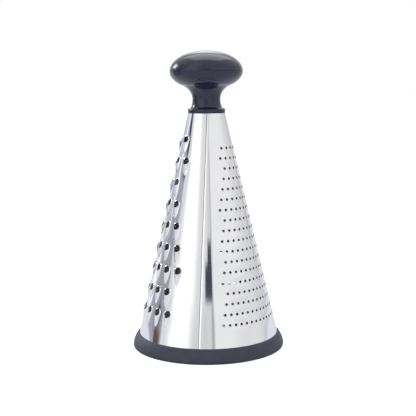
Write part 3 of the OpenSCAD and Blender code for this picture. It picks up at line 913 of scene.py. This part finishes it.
def noise(tree, scale, detail=2.0, rough=0.5, stretch=(1, 1, 1)):
    """Noise on object coordinates, stretched along the axes, in noise cells per metre."""
    coords = add_node(tree, "ShaderNodeTexCoord").outputs["Object"]
    mapped = add_node(tree, "ShaderNodeMapping", {"Vector": coords, "Scale": stretch})
    return add_node(tree, "ShaderNodeTexNoise", {
        "Vector": mapped.outputs[0], "Scale": scale, "Detail": detail, "Roughness": rough,
    }).outputs["Fac"]


def spread(tree, value, low, high):
    """A value mapped from the range of a noise to another."""
    return add_node(tree, "ShaderNodeMapRange", {
        "Value": value, "From Min": NOISE_LOW, "From Max": NOISE_HIGH,
        "To Min": low, "To Max": high,
    }).outputs[0]


def tinted(tree, value, dark, pale):
    """A colour between two as a value goes through the range of a noise."""
    return mixed(tree, spread(tree, value, 0.0, 1.0), (*dark, 1), (*pale, 1))


def tones(scene, finish):
    """The darker and the paler colour of a finish."""
    settings = scene.grater_finish
    return getattr(settings, f"{finish}_dark"), getattr(settings, f"{finish}_pale")


def dressed(tree, shader, tone, gloss):
    """A colour and a roughness on the shader."""
    tree.links.new(tone, shader.inputs["Base Color"])
    tree.links.new(gloss, shader.inputs["Roughness"])


def bumped(tree, shader, height, strength, distance):
    """Height as a bump on the shader."""
    node = add_node(tree, "ShaderNodeBump", {
        "Height": height, "Strength": strength, "Distance": distance,
    })
    tree.links.new(node.outputs[0], shader.inputs["Normal"])


def steel_material(dark, pale):
    """Mirror-polished stainless sheet: slow changes of tone, light smears in the gloss, and
    the long waves of the rolled sheet."""
    mat, tree, shader = new_material("polished_steel", metallic=1.0)
    tone = tinted(tree, noise(tree, scale=40, detail=3), dark, pale)
    smear = noise(tree, scale=90, detail=4, rough=0.6, stretch=(1, 1, 0.35))
    dressed(tree, shader, tone, spread(tree, smear, low=0.02, high=0.055))
    wave = noise(tree, scale=55, detail=1.5, rough=0.4, stretch=(1, 1, 0.45))
    bumped(tree, shader, wave, strength=0.2, distance=0.00025)
    return mat


def plain_metal(name, dark, pale, rough):
    """Unpolished steel: the mill's dull finish inside, or the dull face of a cut, whose dark tones
    are partly painted shade.
    """
    mat, tree, shader = new_material(name, metallic=1.0)
    grain = noise(tree, scale=700, detail=3, rough=0.6)
    gloss = spread(tree, grain, low=rough, high=rough + 0.12)
    dressed(tree, shader, tinted(tree, grain, dark, pale), gloss)
    return mat


def ring_material(dark, pale):
    """Soft matte moulding: a fine spark-eroded grain and slow changes of tone."""
    mat, tree, shader = new_material("ring_moulding", ior=1.48)
    tone = tinted(tree, noise(tree, scale=120, detail=3), dark, pale)
    gloss = spread(tree, noise(tree, scale=400, detail=3), low=0.5, high=0.62)
    dressed(tree, shader, tone, gloss)
    bumped(tree, shader, noise(tree, scale=2600, detail=2), strength=0.35, distance=0.00008)
    return mat


def knob_material(dark, pale):
    """Glossy moulding: a smooth skin with slow flow waves, and dust-fine changes of gloss."""
    mat, tree, shader = new_material("knob_moulding", ior=1.5)
    tone = tinted(tree, noise(tree, scale=60, detail=2), dark, pale)
    gloss = spread(tree, noise(tree, scale=300, detail=4), low=0.08, high=0.13)
    dressed(tree, shader, tone, gloss)
    bumped(tree, shader, noise(tree, scale=140, detail=2), strength=0.12, distance=0.0003)
    return mat


def clamp_material(name, dark, pale, metal, rough, turned):
    """A plain inner piece: brass, moulding or turned steel, with its turning marks or grain
    across the axis."""
    mat, tree, shader = new_material(name, metallic=metal)
    grain = noise(tree, scale=900, detail=3, rough=0.6, stretch=(1, 1, 6) if turned else (1, 1, 1))
    gloss = spread(tree, grain, low=rough, high=rough + 0.15)
    dressed(tree, shader, tinted(tree, grain, dark, pale), gloss)
    bumped(tree, shader, grain, strength=0.25, distance=0.00005)
    return mat


def settle(obj, slot, *nodes):
    """The piece rides on the one body and stands for its CAD nodes, which it hides. The slot
    is not used.
    """
    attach(obj, "root")
    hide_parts(*nodes)


class GRATER_OT_sheet(Operator):
    """Build the rolled sheet with its coarse, fine and slicing zones"""

    bl_idname = "grater.sheet"
    bl_label = "Grating Cone"

    def execute(self, context):
        scene = context.scene
        verts, faces, normals, looks = Sheet(scene).build()
        steel = steel_material(*tones(scene, "steel"))
        obj = add_object("perforated_cone", verts, faces, steel)
        if obj.data.validate(verbose=False, clean_customdata=False):
            raise RuntimeError("the sheet's mesh has bad faces")
        obj.data.materials.append(plain_metal("mill_steel", *tones(scene, "mill"), rough=0.3))
        # The cut steel darkens the cut faces as painted shade in the holes' walls, and paints the
        # seam's dark line as shade.
        obj.data.materials.append(plain_metal("cut_steel_and_painted_shade", *tones(scene, "cut"), rough=0.4))
        obj.data.polygons.foreach_set("material_index", looks)
        obj.data.normals_split_custom_set(normals.tolist())
        settle(obj, "grating_cone", "grating_cone")
        return {"FINISHED"}


class GRATER_OT_ring(Operator):
    """Build the base ring that the sheet's lower edge sits in"""

    bl_idname = "grater.ring"
    bl_label = "Base Ring"

    def execute(self, context):
        scene = context.scene
        ring = scene.grater_ring
        profile = ring_profile(ring, scene.grater_sheet)
        mat = ring_material(*tones(scene, "ring"))
        settle(revolve("base_moulding", profile, ring.columns, mat), "base_ring", "base_ring")
        return {"FINISHED"}


class GRATER_OT_knob(Operator):
    """Build the knob's crown, and its belly with the neck, the collar and the spigot"""

    bl_idname = "grater.knob"
    bl_label = "Knob"

    def execute(self, context):
        k = context.scene.grater_knob
        mat = knob_material(*tones(context.scene, "knob"))
        crown = revolve("crown_shell", crown_profile(k), k.columns, mat)
        settle(crown, "knob_shell", "knob_crown")
        belly = revolve("belly_and_neck", belly_profile(k), k.columns, mat)
        settle(belly, "knob_shell", "knob_body")
        return {"FINISHED"}


class GRATER_OT_clamp(Operator):
    """Give the insert, the plug, the washer and the screw inside the cone their materials"""

    bl_idname = "grater.clamp"
    bl_label = "Clamp"

    def execute(self, context):
        screw, brass, plug = (tones(context.scene, key) for key in ("screw", "brass", "plug"))
        steel = clamp_material("turned_steel", *screw, metal=1.0, rough=0.28, turned=True)
        looks = {
            "threaded_insert": clamp_material(
                "insert_brass", *brass, metal=1.0, rough=0.3, turned=True
            ),
            "clamp_plug": clamp_material(
                "plug_moulding", *plug, metal=0.0, rough=0.45, turned=False
            ),
            "clamp_washer": steel,
            "clamp_screw": steel,
        }
        for node, mat in looks.items():
            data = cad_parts[node].data
            data.materials.clear()
            data.materials.append(mat)
        return {"FINISHED"}


def soft_step(tree, value, edge, soft, falling):
    """1 beyond an edge and 0 before it, or the reverse, smooth over twice the softness."""
    ends = (1.0, 0.0) if falling else (0.0, 1.0)
    return add_node(tree, "ShaderNodeMapRange", {
        "Value": value, "From Min": edge - soft, "From Max": edge + soft,
        "To Min": ends[0], "To Max": ends[1],
    }, interpolation_type="SMOOTHSTEP").outputs[0]


def calculated(tree, operation, *values):
    """The result of a Math node."""
    node = add_node(tree, "ShaderNodeMath", dict(enumerate(values)), operation=operation)
    return node.outputs[0]


def direction(tree, place):
    """X, Y and Z of a place or direction, and its azimuth from the front."""
    x, y, z = add_node(tree, "ShaderNodeSeparateXYZ", {0: place}).outputs
    return x, y, z, calculated(tree, "ARCTAN2", x, calculated(tree, "MULTIPLY", y, -1.0))


def laid_over(tree, colour, paint, steps, name):
    """A paint mixed over a colour by the product of smooth steps."""
    share = soft_step(tree, *steps[0])
    for step in steps[1:]:
        share = calculated(tree, "MULTIPLY", share, soft_step(tree, *step))
    return mixed(tree, share, colour, (*paint, 1), name)


def studio_world():
    """White for the camera. For light and reflections, a pale studio whose cards and panels
    stand at fixed places, each mixed over the ones before it: a card's share is the product
    of four smooth steps in azimuth and elevation, and a panel's of five in X, Y and Z."""
    world = bpy.data.worlds.new("studio")
    bpy.context.scene.world = world
    world.use_nodes = True
    tree = world.node_tree
    tree.nodes.clear()
    way = add_node(tree, "ShaderNodeTexCoord").outputs["Generated"]
    x, y, z, azimuth = direction(tree, way)
    height = calculated(tree, "ARCSINE", z)
    colour = STUDIO_TONE
    for name, left, right, lean, *edges, paint in CARDS:
        across = calculated(tree, "MULTIPLY_ADD", height, -lean, azimuth) if lean else azimuth
        left, right, low, high, side, level = map(math.radians, (left, right, *edges))
        steps = (
            (across, left, side, False), (across, right, side, True),
            (height, low, level, False), (height, high, level, True),
        )
        colour = laid_over(tree, colour, paint, steps, name)
    for name, left, right, front, back, low, soft, paint in PANELS:
        steps = (
            (x, left, soft[0], False), (x, right, soft[1], True), (y, front, soft[2], False),
            (y, back, soft[3], True), (z, low, soft[4], False),
        )
        colour = laid_over(tree, colour, paint, steps, name)
    seen = add_node(tree, "ShaderNodeLightPath").outputs["Is Camera Ray"]
    shown = mixed(tree, seen, colour, WHITE)
    back = add_node(tree, "ShaderNodeBackground", {"Color": shown, "Strength": 1.0})
    out = add_node(tree, "ShaderNodeOutputWorld")
    tree.links.new(back.outputs[0], out.inputs[0])


def floor_material():
    """Plain pale floor: for the camera its white is lifted to the studio's, so that only
    the shadow shows, and where the steel mirrors it, it is greyer and takes up the cards'
    strips by the azimuth of the place: painted shade and light that only the reflections show."""
    mat, tree, shader = new_material("pale_floor", roughness=0.9, specular_ior_level=0.0)
    ray = add_node(tree, "ShaderNodeLightPath").outputs
    place = add_node(tree, "ShaderNodeTexCoord").outputs["Object"]
    x, y, _, azimuth = direction(tree, place)
    reach = calculated(tree, "MULTIPLY_ADD", x, x, calculated(tree, "MULTIPLY", y, y))
    mirrored = MIRRORED_TONE
    # Strips of painted shade and light, by azimuth, that only glossy rays see.
    for name, *edges, paint in FLOOR_STRIPS:
        left, right, soft = map(math.radians, edges)
        steps = (
            (azimuth, left, soft, False), (azimuth, right, soft, True),
            (reach, FAR_REACH**2, FAR_REACH**2 / 2, False),
        )
        mirrored = laid_over(tree, mirrored, paint, steps, name)
    tone = mixed(tree, ray["Is Glossy Ray"], FLOOR_TONE, mirrored)
    tree.links.new(tone, shader.inputs["Base Color"])
    shader.inputs["Emission Color"].default_value = WHITE
    lift = calculated(tree, "MULTIPLY", ray["Is Camera Ray"], FLOOR_LIFT)
    tree.links.new(lift, shader.inputs["Emission Strength"])
    return mat


class GRATER_OT_stage(Operator):
    """Set the floor, the lit studio and the camera"""

    bl_idname = "grater.stage"
    bl_label = "Stage"

    def execute(self, context):
        t = context.scene.grater_stage
        ring = np.arange(96) * 2 * math.pi / 96
        verts = np.stack([t.floor_r * np.cos(ring), t.floor_r * np.sin(ring), 0 * ring], 1)
        add_object("floor", verts, [list(range(96))], floor_material())
        studio_world()
        camera = bpy.data.cameras.new("camera")
        camera.sensor_width = SENSOR_MM
        camera.lens = FOCAL_PX / PICTURE_PX * SENSOR_MM
        camera.shift_x = SIDE_SHIFT_PX / PICTURE_PX
        camera.clip_start = t.near
        obj = bpy.data.objects.new("camera", camera)
        aim = Matrix.Rotation(math.pi / 2 - t.pitch, 4, "X") @ Matrix.Rotation(-t.roll, 4, "Z")
        obj.matrix_world = Matrix.Translation((0, -t.distance, t.eye_z)) @ aim
        context.scene.collection.objects.link(obj)
        context.scene.camera = obj
        context.scene.view_settings.view_transform = "Standard"
        return {"FINISHED"}


class GRATER_PT_panel(Panel):
    """The grater's sizes and the steps that build it."""

    bl_idname = "GRATER_PT_panel"
    bl_label = "Grater"
    bl_space_type = "VIEW_3D"
    bl_region_type = "UI"
    bl_category = "Grater"

    def draw(self, context):
        for operator in OPERATORS:
            self.layout.operator(operator.bl_idname)
        for name, group in GROUPS.items():
            box = self.layout.box()
            box.label(text=group.__doc__.strip("."))
            for key in group.__annotations__:
                box.prop(getattr(context.scene, name), key)


OPERATORS = (GRATER_OT_sheet, GRATER_OT_ring, GRATER_OT_knob, GRATER_OT_clamp, GRATER_OT_stage)


def register():
    for cls in (*GROUPS.values(), *OPERATORS, GRATER_PT_panel):
        bpy.utils.register_class(cls)
    for name, group in GROUPS.items():
        setattr(bpy.types.Scene, name, PointerProperty(type=group))


def unregister():
    for name in GROUPS:
        delattr(bpy.types.Scene, name)
    for cls in (GRATER_PT_panel, *reversed(OPERATORS), *reversed(GROUPS.values())):
        bpy.utils.unregister_class(cls)


def main():
    """Builds every piece and the stage."""
    register()
    for step in ("sheet", "ring", "knob", "clamp", "stage"):
        if getattr(bpy.ops.grater, step)() != {"FINISHED"}:
            raise RuntimeError(f"grater.{step} didn't finish")


if __name__ == "__main__":
    main()
